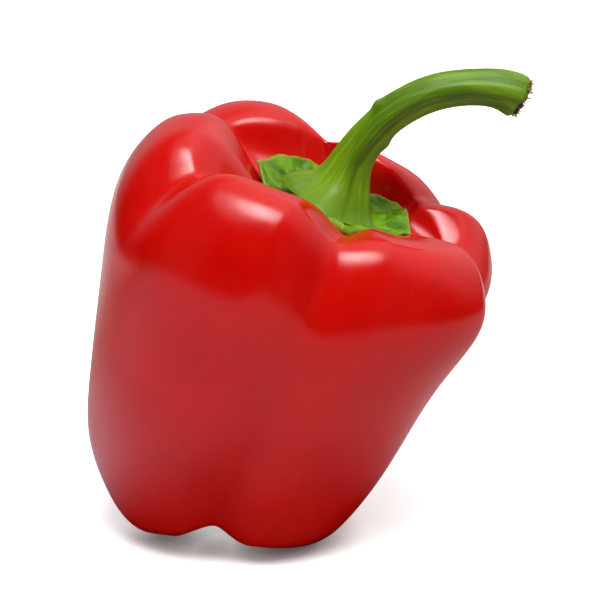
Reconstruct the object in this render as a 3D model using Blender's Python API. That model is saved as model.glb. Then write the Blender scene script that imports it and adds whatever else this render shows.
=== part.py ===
"""A red bell pepper with its calyx and stem, leaning as it rests on its blossom-end lobes.

The fruit is drawn upright in its own frame, with its axis on Z and the blossom end near Z = 0.
An empty then leans it, and carries the calyx and the stem with it. Sizes ending in _MM are
millimetres and angles ending in _DEG are degrees; everything that reaches Blender is in metres.
"""

import math

import bmesh
import bpy
import numpy as np
from mathutils import Matrix, Vector

MM = 0.001

# ---- Driving dimensions ------------------------------------------------------------------

# How the fruit stands: it leans towards +X and nods towards -Y.
LEAN_DEG = 17.0
NOD_DEG = 6.0
PRESSED_FLAT_MM = 0.5  # how much of the lowest foot the weight presses flat
FLOOR_MM = 200.0  # the side of the cube that stands for the surface below

# The meridian over the crest of a lobe, as (distance from the axis, height), from the middle
# of the stem cavity over the shoulder and down the side to the middle of the blossom end.
CREST_MM = (
    (0.0, 74.5), (7.0, 74.5), (13.0, 74.8), (18.0, 77.3), (22.5, 85.9), (30.3, 89.8),
    (38.4, 85.6), (44.4, 69.6), (43.0, 55.0), (40.0, 34.0), (35.5, 16.0), (29.0, 3.0),
    (16.0, 2.5), (6.0, 8.5), (0.0, 10.5),
)
CAVITY_CENTRE_MM = (4.5, 3.0)  # the cavity sits a little off the fruit's axis

# Each lobe: direction, then the scale of its shoulder, waist and foot, then how far its
# shoulder rises, its foot drops and the wall inside its shoulder sinks and moves inwards,
# in millimetres.
LOBES = (
    # angle_deg, shoulder, waist, foot, rise, drop, sink, inset
    (-139, 1.02, 0.96, 0.82, -2.9, 14.3, 3.1, -0.4),
    (-112, 0.95, 0.98, 0.96, -1.9, -1.3, 0.1, 1.5),
    (-62, 0.85, 0.94, 1.02, -6.4, -3.6, 1.0, 2.2),
    (-26, 1.08, 0.96, 0.92, -7.1, 0.3, 3.0, 0.6),
    (12, 1.11, 0.90, 0.93, -6.3, -0.4, 1.0, 1.2),
    (60, 0.78, 0.98, 1.00, -3.2, 5.2, -3.0, 2.0),
    (129, 1.16, 0.97, 1.00, -2.5, 4.6, -2.0, 0.7),
    (182, 0.93, 0.92, 1.01, -1.0, -1.6, -3.1, -2.4),
)
LOBE_BLEND = 7.0  # how tightly each direction keeps to its own lobe

# Each groove: direction at the shoulder, half width there and at the foot, its depth at the
# shoulder, side and foot, how far it wanders round the fruit on the way down, and a power:
# the higher it is, the narrower the groove's bottom and the fuller the lobes beside it.
GROOVES = (
    # angle_deg, width_deg, foot_width_deg, shoulder_mm, side_mm, foot_mm, drift_deg, power
    (-77, 22, 18, 4.1, 1.8, 3.7, -28, 1.5),
    (-4, 19, 28, 6.8, 2.5, 4.7, 0, 1.2),
    (29, 17, 26, 2.8, 0.6, 0.2, 0, 1.9),
    (91, 21, 28, 3.8, 1.5, 5.0, 0, 1.8),
    (145, 38, 28, 6.7, 0.9, 3.5, 0, 2.8),
    (-144, 23, 32, 5.4, 0.1, 0.1, -30, 2.3),
)
GROOVE_ROUNDNESS = 0.22  # of the groove's half width

# The calyx lies on the cavity floor and reaches up its slope, with a tooth at each vein's end.
CALYX_RIM_MM = 16.3
CALYX_MIDDLE_THICK_MM = 1.6
CALYX_RIM_THICK_MM = 0.7
TOOTH_HALF_WIDTH_DEG = 27.0
TOOTH_POWER = 1.25
CURL_POWER = 4  # a tooth curls up only near its tip
# angle_deg, length_mm, curl_mm
TEETH = (
    (163, 2.8, 1.6),
    (132, 2.6, 1.2),
    (84, 1.6, 0.6),
    (33, 3.2, 0.6),
    (-20, 2.8, 0.3),
    (-78, 1.4, 1.2),
    (-135, 2.6, 1.2),
)

# The stem: points on its middle line and its radius there.
STEM_MM = (
    (4.2, 3.0, 77.2, 11.4), (4.2, 3.0, 77.8, 11.1), (4.7, 3.0, 79.4, 9.9), (5.5, 3.0, 82.0, 8.3),
    (6.1, 3.0, 85.0, 6.3), (6.3, 3.0, 88.2, 5.0), (6.9, 3.0, 92.2, 4.2), (9.0, 3.1, 97.5, 3.6),
    (12.7, 3.4, 103.0, 3.9), (18.3, 3.8, 107.6, 4.0), (25.0, 4.2, 110.8, 3.8), (31.2, 4.6, 112.3, 4.2),
    (37.2, 5.0, 111.3, 4.7),
)
STEM_RIBS = 5
STEM_RIB_DEPTH = 0.07  # of the stem's radius

GAP_MM = 0.4  # between pieces that grow against each other

# ---- Fineness of the meshes --------------------------------------------------------------

FRUIT_SEGMENTS, FRUIT_RINGS = 72, 56
CALYX_SEGMENTS, CALYX_RINGS = 56, 16
STEM_STATIONS = 30
STEM_SIDES = 20

# ---- Where things happen along a meridian ------------------------------------------------

# These run from 0 at the middle of the stem cavity to 1 at the middle of the blossom end.
SHOULDER_TO_WAIST = (0.0, 0.47, 0.63, 1.0)
WAIST_TO_FOOT = (0.0, 0.64, 0.77, 1.0)
RISE_STATIONS = (0.0, 0.20, 0.36, 0.62, 1.0)
DROP_STATIONS = (0.0, 0.64, 0.89, 1.0)
INNER_WALL_STATIONS = (0.0, 0.16, 0.28, 0.39, 1.0)
CAVITY_TO_CREST = (0.0, 0.18, 0.38, 1.0)
GROOVE_STATIONS = (0.0, 0.13, 0.26, 0.40, 0.58, 0.70, 0.82, 0.92, 1.0)
GROOVE_SHOULDER_TO_FOOT = (0.0, 0.40, 0.80, 1.0)
DRIFT_STARTS = 0.3  # where a wandering groove has its own direction
NEAR_BLOSSOM = 0.7  # of a groove's depth at the foot, just before the blossom end
CAVITY_ENDS = 0.35  # the calyx stays nearer the middle than this


# ---- Curves and surfaces -----------------------------------------------------------------


def cubic_b_spline(controls, t):
    """Points on a uniform cubic B-spline, from its second control point to its last but one."""
    controls = np.array(controls, float)
    spans = len(controls) - 3
    place = np.clip(np.asarray(t, float), 0.0, 1.0) * spans
    first = np.minimum(place.astype(int), spans - 1)
    u = (place - first)[..., None]
    weights = (
        (1 - u) ** 3,
        3 * u**3 - 6 * u**2 + 4,
        -3 * u**3 + 3 * u**2 + 3 * u + 1,
        u**3,
    )
    return sum(w * controls[first + k] for k, w in enumerate(weights)) / 6


def meridian(t):
    """The crest's profile and its outward unit normal, each as (distance from axis, height)."""
    # A control point mirrored across the axis at each end makes the profile cross it level.
    (before_r, before_z), (after_r, after_z) = CREST_MM[1], CREST_MM[-2]
    controls = ((-before_r, before_z), *CREST_MM, (-after_r, after_z))
    step = 1e-4
    ahead = cubic_b_spline(controls, np.minimum(t + step, 1.0))
    along = ahead - cubic_b_spline(controls, np.maximum(t - step, 0.0))
    along /= np.linalg.norm(along, axis=-1, keepdims=True)
    return cubic_b_spline(controls, t), np.stack([-along[..., 1], along[..., 0]], axis=-1)


def eased(t, stations, values):
    """Goes from value to value with a level start and end at each station."""
    k = np.clip(np.searchsorted(stations, t, side="right") - 1, 0, len(stations) - 2)
    stations, values = np.array(stations, float), np.array(values, float)
    u = np.clip((t - stations[k]) / (stations[k + 1] - stations[k]), 0.0, 1.0)
    return values[k] + (values[k + 1] - values[k]) * u * u * (3 - 2 * u)


def round_the_fruit(theta, values):
    """A value of each lobe, blended smoothly round the fruit."""
    centres = np.radians([lobe[0] for lobe in LOBES])
    weights = np.exp(LOBE_BLEND * (np.cos(theta[..., None] - centres) - 1))
    return (weights * np.array(values)).sum(axis=-1) / weights.sum(axis=-1)


def turn_between(a, b):
    """The signed angle from b to a, in radians."""
    return (a - b + np.pi) % (2 * np.pi) - np.pi


def valley(x, power):
    """1 at the bottom of a groove, falling to 0 at x = 1, with a rounded bottom."""
    soft = GROOVE_ROUNDNESS
    r = (np.sqrt(x * x + soft * soft) - soft) / (math.sqrt(1 + soft * soft) - soft)
    return (1 - np.minimum(r, 1.0)) ** power


def fruit_surface(theta, t):
    """Points on the fruit's skin, in millimetres."""
    profile, normal = meridian(t)
    shoulder, waist, foot, rise, drop, sink, inset = (
        round_the_fruit(theta, [lobe[k] for lobe in LOBES]) for k in range(1, 8)
    )
    upper = eased(t, SHOULDER_TO_WAIST, (1, 1, 0, 0))
    lower = eased(t, WAIST_TO_FOOT, (0, 0, 1, 1))
    reach = shoulder * upper + waist * (1 - upper - lower) + foot * lower
    distance = profile[..., 0] * reach
    height = profile[..., 1] + rise * eased(t, RISE_STATIONS, (0, 0, 1, 0, 0))
    height = height - drop * eased(t, DROP_STATIONS, (0, 0, 1, 0))
    inner_wall = eased(t, INNER_WALL_STATIONS, (0, 0, 1, 0, 0))
    distance = distance - inset * inner_wall
    height = height - sink * inner_wall
    for angle, width, foot_width, at_shoulder, at_side, at_foot, drift, power in GROOVES:
        centre = np.radians(angle + drift * (t - DRIFT_STARTS))
        widening = eased(t, GROOVE_SHOULDER_TO_FOOT, (0, 0, 1, 1))
        half = np.radians(width + (foot_width - width) * widening)
        near_blossom = NEAR_BLOSSOM * at_foot
        depths = (0, 0, at_shoulder, at_shoulder, at_side, at_side, at_foot, near_blossom, 0)
        cross_section = valley(turn_between(theta, centre) / half, power)
        depth = cross_section * eased(t, GROOVE_STATIONS, depths)
        distance = distance - depth * normal[..., 0]
        height = height - depth * normal[..., 1]
    inner = eased(t, CAVITY_TO_CREST, (1, 1, 0, 0))
    x = distance * np.cos(theta) + CAVITY_CENTRE_MM[0] * inner
    y = distance * np.sin(theta) + CAVITY_CENTRE_MM[1] * inner
    return np.stack([x, y, height], axis=-1)


def tooth(theta, angle_deg):
    """1 at a tooth's tip, falling to 0 at the notches beside it."""
    away = np.abs(turn_between(theta, math.radians(angle_deg)))
    return np.clip(1 - away / math.radians(TOOTH_HALF_WIDTH_DEG), 0.0, 1.0) ** TOOTH_POWER


def calyx_surface(theta, t):
    """Points on the calyx: its top face from t = 0 to the rim at 0.5, then its underside."""
    out = 1 - np.abs(2 * t - 1)
    rim = CALYX_RIM_MM + sum(length * tooth(theta, angle) for angle, length, _curl in TEETH)
    curl = sum(curl * tooth(theta, angle) for angle, _length, curl in TEETH)
    stations = np.linspace(0.0, CAVITY_ENDS, 200)
    radii = meridian(stations)[0][:, 0]
    points = fruit_surface(theta, np.interp(out * rim, radii, stations))
    thick = CALYX_MIDDLE_THICK_MM + (CALYX_RIM_THICK_MM - CALYX_MIDDLE_THICK_MM) * out
    on_top = np.clip((0.5 - t) * CALYX_RINGS + 0.5, 0.0, 1.0)
    points[..., 2] += GAP_MM + curl * out**CURL_POWER + thick * on_top
    # On the cavity's slope the gap needs a little distance sideways too.
    points[..., 0] -= 0.5 * GAP_MM * np.cos(theta) * out
    points[..., 1] -= 0.5 * GAP_MM * np.sin(theta) * out
    return points


# ---- Blender objects ---------------------------------------------------------------------


def clear_scene():
    for obj in list(bpy.data.objects):
        bpy.data.objects.remove(obj, do_unlink=True)


def collection(name):
    made = bpy.data.collections.new(name)
    bpy.context.scene.collection.children.link(made)
    return made


def material(name, colour, roughness):
    made = bpy.data.materials.new(name)
    made.use_nodes = True
    shader = made.node_tree.nodes["Principled BSDF"]
    shader.inputs["Base Color"].default_value = (*colour, 1.0)
    shader.inputs["Roughness"].default_value = roughness
    shader.inputs["Metallic"].default_value = 0.0
    return made


def from_sphere(name, segments, rings, surface):
    """A closed piece made by moving a sphere's vertices: longitude and latitude place each one."""
    bm = bmesh.new()
    bmesh.ops.create_uvsphere(bm, u_segments=segments, v_segments=rings, radius=1.0)
    round_z = np.array([vert.co for vert in bm.verts])
    theta = np.arctan2(round_z[:, 1], round_z[:, 0])
    t = np.arccos(np.clip(round_z[:, 2], -1.0, 1.0)) / math.pi
    for vert, point in zip(bm.verts, surface(theta, t) * MM):
        vert.co = point
    mesh = bpy.data.meshes.new(name)
    bm.to_mesh(mesh)
    bm.free()
    mesh.shade_smooth()
    return bpy.data.objects.new(name, mesh)


def make_fruit():
    fruit = from_sphere("fruit", FRUIT_SEGMENTS, FRUIT_RINGS, fruit_surface)
    fruit.data.materials.append(material("red_skin", (0.55, 0.006, 0.004), 0.28))
    return fruit


def make_calyx():
    calyx = from_sphere("calyx", CALYX_SEGMENTS, CALYX_RINGS, calyx_surface)
    calyx.data.materials.append(material("calyx_green", (0.10, 0.22, 0.02), 0.42))
    return calyx


def stem_section(parent):
    """The stem's ribbed outline at radius 1, which the curve scales to each point's radius."""
    data = bpy.data.curves.new("stem_section", "CURVE")
    data.dimensions = "2D"
    outline = data.splines.new("POLY")
    outline.points.add(STEM_SIDES - 1)
    outline.use_cyclic_u = True
    for k, point in enumerate(outline.points):
        angle = -2 * math.pi * k / STEM_SIDES  # clockwise, so the caps face outwards too
        radius = MM * (1 + STEM_RIB_DEPTH * math.cos(STEM_RIBS * angle))
        point.co = (radius * math.cos(angle), radius * math.sin(angle), 0.0, 1.0)
    section = bpy.data.objects.new("stem_section", data)
    section.hide_render = True
    section.display_type = "WIRE"
    parent.objects.link(section)
    return section


def make_stem(section):
    data = bpy.data.curves.new("stem", "CURVE")
    data.dimensions = "3D"
    data.bevel_mode = "OBJECT"
    data.bevel_object = section
    data.use_fill_caps = True
    data.twist_mode = "MINIMUM"
    line = data.splines.new("POLY")
    line.points.add(STEM_STATIONS - 1)
    middle = np.array(STEM_MM)
    controls = (2 * middle[0] - middle[1], *middle, 2 * middle[-1] - middle[-2])
    stations = cubic_b_spline(controls, np.linspace(0.0, 1.0, STEM_STATIONS))
    for point, (x, y, z, radius) in zip(line.points, stations):
        point.co = (x * MM, y * MM, z * MM, 1.0)
        point.radius = radius
    stem = bpy.data.objects.new("stem", data)
    data.materials.append(material("stem_green", (0.13, 0.27, 0.02), 0.38))
    return stem


def corners(objects):
    """The lowest and highest corner of these objects together, in world space."""
    bpy.context.view_layer.update()
    graph = bpy.context.evaluated_depsgraph_get()
    points = []
    for obj in objects:
        shown = obj.evaluated_get(graph)
        mesh = shown.to_mesh()
        points += [shown.matrix_world @ vert.co for vert in mesh.vertices]
        shown.to_mesh_clear()
    points = np.array(points)
    return Vector(points.min(axis=0)), Vector(points.max(axis=0))


def stand(pose, pieces):
    """Leans the pepper and sets it on Z = 0 with its box centred on the origin."""
    lean = Matrix.Rotation(math.radians(LEAN_DEG), 4, "Y")
    nod = Matrix.Rotation(math.radians(NOD_DEG), 4, "X")
    pose.matrix_world = lean @ nod
    low, high = corners(pieces)
    pose.location = (
        -(low.x + high.x) / 2,
        -(low.y + high.y) / 2,
        -low.z - PRESSED_FLAT_MM * MM,
    )


def press_feet_flat(fruit, cutters):
    """Cuts the fruit off at Z = 0, which leaves a flat patch under each foot."""
    bm = bmesh.new()
    bmesh.ops.create_cube(bm, size=FLOOR_MM * MM)
    bmesh.ops.translate(bm, vec=(0.0, 0.0, -FLOOR_MM * MM / 2), verts=bm.verts)
    mesh = bpy.data.meshes.new("floor_cutter")
    bm.to_mesh(mesh)
    bm.free()
    cutter = bpy.data.objects.new("floor_cutter", mesh)
    cutter.hide_render = True
    cutter.display_type = "WIRE"
    cutters.objects.link(cutter)
    cut = fruit.modifiers.new("press_feet_flat", "BOOLEAN")
    cut.operation = "DIFFERENCE"
    cut.object = cutter


def main():
    clear_scene()
    pepper = collection("bell_pepper")
    cutters = collection("cutters")
    pose = bpy.data.objects.new("pose", None)
    pepper.objects.link(pose)
    pieces = [make_fruit(), make_calyx(), make_stem(stem_section(cutters))]
    for piece in pieces:
        pepper.objects.link(piece)
        piece.parent = pose
    stand(pose, pieces)
    press_feet_flat(pieces[0], cutters)


main()
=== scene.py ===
# %% [markdown]
# # A red bell pepper
#
# A bell pepper is a hollow berry with three or four lobes. It hangs from a stout green stem that
# spreads into the calyx, the leathery green disc left over from the flower. This lesson makes the
# three pieces that can be seen: the fruit, the calyx and the stem with its torn end. Each one
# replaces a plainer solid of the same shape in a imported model, so its place comes from that model.
#
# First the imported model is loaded. Its box is kept, so that the finished pieces can be held to it.

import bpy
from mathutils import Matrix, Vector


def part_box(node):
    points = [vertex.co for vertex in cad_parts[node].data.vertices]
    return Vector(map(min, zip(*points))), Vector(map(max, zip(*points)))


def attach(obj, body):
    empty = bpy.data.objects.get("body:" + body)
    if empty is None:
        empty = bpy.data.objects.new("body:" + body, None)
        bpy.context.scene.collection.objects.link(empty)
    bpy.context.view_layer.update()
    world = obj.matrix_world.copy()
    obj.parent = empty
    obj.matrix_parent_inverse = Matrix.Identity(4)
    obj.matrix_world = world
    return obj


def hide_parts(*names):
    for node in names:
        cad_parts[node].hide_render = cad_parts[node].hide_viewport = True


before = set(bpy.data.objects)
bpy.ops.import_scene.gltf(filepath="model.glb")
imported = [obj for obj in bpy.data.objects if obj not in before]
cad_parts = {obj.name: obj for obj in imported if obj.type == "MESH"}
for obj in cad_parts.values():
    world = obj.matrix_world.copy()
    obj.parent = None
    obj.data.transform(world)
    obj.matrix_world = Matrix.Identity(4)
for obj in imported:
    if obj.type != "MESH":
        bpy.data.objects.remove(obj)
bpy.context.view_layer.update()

# %% Tools for the whole lesson
import math

import bpy
import numpy as np
from mathutils import Matrix, Vector, noise

MM = 0.001


def linear(hex_colour):
    """An sRGB colour such as "#C8140A" as the linear RGBA that a shader reads."""
    channels = [int(hex_colour[k : k + 2], 16) / 255 for k in (1, 3, 5)]
    bent = [c / 12.92 if c <= 0.04045 else ((c + 0.055) / 1.055) ** 2.4 for c in channels]
    return (*bent, 1.0)


def add_node(tree, kind, inputs=None, **settings):
    """Adds a node. Settings are its own properties, and inputs are plain values or links."""
    node = tree.nodes.new(kind)
    for name, value in settings.items():
        setattr(node, name, value)
    for name, value in (inputs or {}).items():
        if isinstance(value, bpy.types.NodeSocket):
            tree.links.new(value, node.inputs[name])
        else:
            node.inputs[name].default_value = value
    return node


def turn_between(a, b):
    """The signed angle from b to a, in radians."""
    return (a - b + np.pi) % (2 * np.pi) - np.pi


def eased(t, stations, values):
    """Goes from value to value with a level start and end at each station."""
    k = np.clip(np.searchsorted(stations, t, side="right") - 1, 0, len(stations) - 2)
    stations, values = np.array(stations, float), np.array(values, float)
    u = np.clip((t - stations[k]) / (stations[k + 1] - stations[k]), 0.0, 1.0)
    return values[k] + (values[k + 1] - values[k]) * u * u * (3 - 2 * u)


def cubic_b_spline(controls, t):
    """Points on a uniform cubic B-spline, from its second control point to its last but one."""
    controls = np.array(controls, float)
    spans = len(controls) - 3
    place = np.clip(np.asarray(t, float), 0.0, 1.0) * spans
    first = np.minimum(place.astype(int), spans - 1)
    u = (place - first)[..., None]
    weights = ((1 - u) ** 3, 3 * u**3 - 6 * u**2 + 4, -3 * u**3 + 3 * u**2 + 3 * u + 1, u**3)
    return sum(w * controls[first + k] for k, w in enumerate(weights)) / 6


def lumps(points, grain_mm, seed):
    """Smooth noise from -1 to 1 at each point, with lumps about grain_mm across."""
    flat = points.reshape(-1, 3) / grain_mm + seed
    return np.array([noise.noise(Vector(p)) for p in flat]).reshape(points.shape[:-1])


def layered_lumps(points, layers):
    """Lumps of several sizes added up. Each layer: its height and grain in millimetres, and seed."""
    return sum(height * lumps(points, grain_mm, seed) for height, grain_mm, seed in layers)


print("tools ready")

# %% [markdown]
# ## How the fruit grows
#
# Seen from the side, the skin follows one line over the crest of each lobe: out of the stem
# cavity, over the shoulder, down the side and under to the blossom end. That line is a B-spline
# guided by a few points, and turning it round the axis would give a plain round pepper. Each lobe
# then scales the line in its own direction, and grooves are pressed in between the lobes. A rule
# like this keeps the skin smooth, as growth does, where a sculpted mesh would take much longer.

# %% The crest of a lobe
# As (distance from the axis, height), in millimetres.
CREST_MM = (
    (0.0, 74.5), (7.0, 74.5), (13.0, 74.8), (18.0, 77.3), (22.5, 85.9), (30.3, 89.8),
    (38.4, 85.6), (44.4, 69.6), (43.0, 55.0), (40.0, 34.0), (35.5, 16.0), (29.0, 3.0),
    (16.0, 2.5), (6.0, 8.5), (0.0, 10.5),
)
CAVITY_CENTRE_MM = (4.5, 3.0)  # the stem cavity sits a little off the axis


def meridian(t):
    """The crest's profile and its outward unit normal, each as (distance from axis, height)."""
    # A control point mirrored across the axis at each end makes the profile cross it level.
    (before_r, before_z), (after_r, after_z) = CREST_MM[1], CREST_MM[-2]
    controls = ((-before_r, before_z), *CREST_MM, (-after_r, after_z))
    step = 1e-4
    ahead = cubic_b_spline(controls, np.minimum(t + step, 1.0))
    along = ahead - cubic_b_spline(controls, np.maximum(t - step, 0.0))
    along /= np.linalg.norm(along, axis=-1, keepdims=True)
    return cubic_b_spline(controls, t), np.stack([-along[..., 1], along[..., 0]], axis=-1)


print("crest height, mm:", round(float(meridian(np.linspace(0, 1, 200))[0][:, 1].max()), 1))

# %% The lobes
# Each direction: its angle, the scale of its shoulder, waist and foot, then how far its shoulder
# rises, its foot drops and the wall inside its shoulder sinks and moves inwards, in millimetres.
LOBES = (
    (-139, 1.02, 0.96, 0.82, -2.9, 14.3, 3.1, -0.4),
    (-112, 0.95, 0.98, 0.96, -1.9, -1.3, 0.1, 1.5),
    (-62, 0.85, 0.94, 1.02, -6.4, -3.6, 1.0, 2.2),
    (-26, 1.08, 0.96, 0.92, -7.1, 0.3, 3.0, 0.6),
    (12, 1.11, 0.90, 0.93, -6.3, -0.4, 1.0, 1.2),
    (60, 0.78, 0.98, 1.00, -3.2, 5.2, -3.0, 2.0),
    (129, 1.16, 0.97, 1.00, -2.5, 4.6, -2.0, 0.7),
    (182, 0.93, 0.92, 1.01, -1.0, -1.6, -3.1, -2.4),
)
LOBE_BLEND = 7.0  # how tightly each direction keeps to its own lobe
# Where the changes happen, from 0 in the stem cavity to 1 at the blossom end.
SHOULDER_TO_WAIST = (0.0, 0.47, 0.63, 1.0)
WAIST_TO_FOOT = (0.0, 0.64, 0.77, 1.0)
RISE_STATIONS = (0.0, 0.20, 0.36, 0.62, 1.0)
DROP_STATIONS = (0.0, 0.64, 0.89, 1.0)
INNER_WALL_STATIONS = (0.0, 0.16, 0.28, 0.39, 1.0)
CAVITY_TO_CREST = (0.0, 0.18, 0.38, 1.0)


def round_the_fruit(theta, values):
    """A value of each lobe, blended smoothly round the fruit."""
    centres = np.radians([lobe[0] for lobe in LOBES])
    weights = np.exp(LOBE_BLEND * (np.cos(theta[..., None] - centres) - 1))
    return (weights * np.array(values)).sum(axis=-1) / weights.sum(axis=-1)


print("lobe directions:", [lobe[0] for lobe in LOBES])

# %% The grooves between the lobes
# Each groove: its angle, half width at the shoulder and foot, depth at the shoulder, side and
# foot in millimetres, how far it wanders round the fruit on the way down, and how narrow its
# bottom is: the higher the power, the more the lobes belly out beside it.
GROOVES = (
    (-77, 22, 18, 4.1, 1.8, 3.7, -28, 1.5),
    (-4, 19, 28, 6.8, 2.5, 4.7, 0, 1.2),
    (29, 17, 26, 2.8, 0.6, 0.2, 0, 1.9),
    (91, 21, 28, 3.8, 1.5, 5.0, 0, 1.8),
    (145, 38, 28, 6.7, 0.9, 3.5, 0, 2.8),
    (-144, 23, 32, 5.4, 0.1, 0.1, -30, 2.3),
)
GROOVE_ROUNDNESS = 0.22  # of the groove's half width
GROOVE_STATIONS = (0.0, 0.13, 0.26, 0.40, 0.58, 0.70, 0.82, 0.92, 1.0)
GROOVE_SHOULDER_TO_FOOT = (0.0, 0.40, 0.80, 1.0)
DRIFT_STARTS = 0.3  # where a wandering groove has its own direction
NEAR_BLOSSOM = 0.7  # of a groove's depth at the foot, just before the blossom end


def valley(x, power):
    """1 at the bottom of a groove, falling to 0 at x = 1, with a rounded bottom."""
    soft = GROOVE_ROUNDNESS
    r = (np.sqrt(x * x + soft * soft) - soft) / (math.sqrt(1 + soft * soft) - soft)
    return (1 - np.minimum(r, 1.0)) ** power


def fruit_surface(theta, t):
    """Points on the fruit's skin, in millimetres, in its own upright frame."""
    profile, normal = meridian(t)
    shoulder, waist, foot, rise, drop, sink, inset = (
        round_the_fruit(theta, [lobe[k] for lobe in LOBES]) for k in range(1, 8)
    )
    upper = eased(t, SHOULDER_TO_WAIST, (1, 1, 0, 0))
    lower = eased(t, WAIST_TO_FOOT, (0, 0, 1, 1))
    distance = profile[..., 0] * (shoulder * upper + waist * (1 - upper - lower) + foot * lower)
    height = profile[..., 1] + rise * eased(t, RISE_STATIONS, (0, 0, 1, 0, 0))
    height = height - drop * eased(t, DROP_STATIONS, (0, 0, 1, 0))
    inner_wall = eased(t, INNER_WALL_STATIONS, (0, 0, 1, 0, 0))
    distance = distance - inset * inner_wall
    height = height - sink * inner_wall
    for angle, width, foot_width, at_shoulder, at_side, at_foot, drift, power in GROOVES:
        centre = np.radians(angle + drift * (t - DRIFT_STARTS))
        widening = eased(t, GROOVE_SHOULDER_TO_FOOT, (0, 0, 1, 1))
        half = np.radians(width + (foot_width - width) * widening)
        near_blossom = NEAR_BLOSSOM * at_foot
        depths = (0, 0, at_shoulder, at_shoulder, at_side, at_side, at_foot, near_blossom, 0)
        cross_section = valley(turn_between(theta, centre) / half, power)
        depth = cross_section * eased(t, GROOVE_STATIONS, depths)
        distance = distance - depth * normal[..., 0]
        height = height - depth * normal[..., 1]
    inner = eased(t, CAVITY_TO_CREST, (1, 1, 0, 0))
    x = distance * np.cos(theta) + CAVITY_CENTRE_MM[0] * inner
    y = distance * np.sin(theta) + CAVITY_CENTRE_MM[1] * inner
    return np.stack([x, y, height], axis=-1)


print("grooves:", len(GROOVES))

# %% [markdown]
# ## Standing on its feet
#
# A pepper that lies on a table leans over until it rests on its lower lobes. So every piece is
# drawn upright, then leaned and nodded by one matrix. The matrix's place comes from the packed
# model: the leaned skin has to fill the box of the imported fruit.

# %% Mesh from rings, and the skin's grid
FRUIT_SEGMENTS, FRUIT_RINGS = 330, 220
FRUIT_MIDDLE_MM = (0.0, 0.0, 45.0)
SKIN_LUMP_MM, SKIN_LUMP_HEIGHT_MM = 9.0, 0.045  # the skin is a little uneven to the touch
SKIN_LUMP_SEED = 3.0
SKIN_LUMP_STATIONS = (0.0, 0.2, 0.35, 1.0)  # the stem cavity stays smooth
SKIN_INSET_MM = 0.12  # keeps the unevenness inside the fruit's size


def ring_grid(segments, rings):
    """Longitudes, and stations from pole to pole, for the rings between the two poles."""
    theta = np.linspace(-np.pi, np.pi, segments, endpoint=False)
    t = np.linspace(0.0, 1.0, rings + 1)[1:-1]
    return np.meshgrid(theta, t)


def closed_mesh(name, rings, first_pole, last_pole):
    """A closed mesh from rings of points, which run from one pole to the other."""
    count, segments = rings.shape[:2]
    points = np.vstack([rings.reshape(-1, 3), first_pole, last_pole])
    faces = []
    for j in range(segments):
        k = (j + 1) % segments
        faces.append((count * segments, j, k))
        for i in range(count - 1):
            a, b = i * segments, (i + 1) * segments
            faces.append((a + j, b + j, b + k, a + k))
        last = (count - 1) * segments
        faces.append((last + j, count * segments + 1, last + k))
    mesh = bpy.data.meshes.new(name)
    mesh.from_pydata(points.tolist(), [], faces)
    mesh.shade_smooth()
    return mesh


def surface_points(surface, segments, rings):
    """The rings and two poles of a surface given by longitude and station."""
    theta, t = ring_grid(segments, rings)
    poles = surface(np.zeros(2), np.array([0.0, 1.0]))
    return surface(theta, t), poles[0], poles[1]


def skin_surface(theta, t):
    """The fruit's skin with its slight unevenness, which dies out in the stem cavity."""
    points = fruit_surface(theta, t)
    uneven = SKIN_LUMP_HEIGHT_MM * lumps(points, SKIN_LUMP_MM, SKIN_LUMP_SEED) - SKIN_INSET_MM
    outwards = points - np.array(FRUIT_MIDDLE_MM)
    outwards /= np.linalg.norm(outwards, axis=-1, keepdims=True)
    return points + outwards * (uneven * eased(t, SKIN_LUMP_STATIONS, (0, 0, 1, 1)))[..., None]


skin_rings, skin_top, skin_bottom = surface_points(skin_surface, FRUIT_SEGMENTS, FRUIT_RINGS)
print("skin points:", skin_rings.size // 3)

# %% Lean the pepper
LEAN_DEG, NOD_DEG = 17.0, 6.0  # towards +X, and towards the viewer
FEET_SOFTNESS_MM = 0.25  # how softly the skin bends where a foot is pressed flat
FEET_BEND_REACH = 4  # the bend starts this many softnesses above the table

lean_over = Matrix.Rotation(math.radians(LEAN_DEG), 4, "Y")
nod = Matrix.Rotation(math.radians(NOD_DEG), 4, "X")
lean = lean_over @ nod
LEAN = np.array(lean.to_3x3())
fruit_low, fruit_high = (np.array(corner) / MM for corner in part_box("fruit"))
leaned = skin_rings.reshape(-1, 3) @ LEAN.T
SHIFT_MM = (fruit_low + fruit_high - leaned.min(axis=0) - leaned.max(axis=0)) / 2
SHIFT_MM[2] = fruit_high[2] - leaned[:, 2].max()


def stand(points):
    """Upright millimetres to their place in the frame, in metres."""
    return (points @ LEAN.T + SHIFT_MM) * MM


def stand_feet_flat(points):
    """As stand(), with what would sink below the table pressed flat."""
    placed = stand(points)
    z, soft = placed[..., 2], FEET_SOFTNESS_MM * MM
    pressed = (z + np.sqrt(z * z + soft * soft)) / 2
    placed[..., 2] = np.where(z < FEET_BEND_REACH * soft, pressed, z)
    return placed


print("shift, mm:", SHIFT_MM.round(2))

# %% The fruit
skin_mesh = closed_mesh(
    "bell_pepper_fruit",
    stand_feet_flat(skin_rings),
    stand_feet_flat(skin_top),
    stand_feet_flat(skin_bottom),
)
pepper_fruit = bpy.data.objects.new("bell_pepper_fruit", skin_mesh)
bpy.context.scene.collection.objects.link(pepper_fruit)
print("fruit faces:", len(skin_mesh.polygons))

# %% [markdown]
# ## The calyx
#
# The calyx is one leathery disc with a few broad, blunt teeth, and the veins of the stem run out
# into them. It dries a little as the pepper is stored, so it puckers between the veins and its
# paler rim curls up. It is drawn as a disc that lies on the cavity's own surface, so it can't cut
# into the fruit, and its puckers and curl are added on top of that. On one side the rim doesn't
# curl away: there the edge is thick and clasps the fruit.

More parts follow.
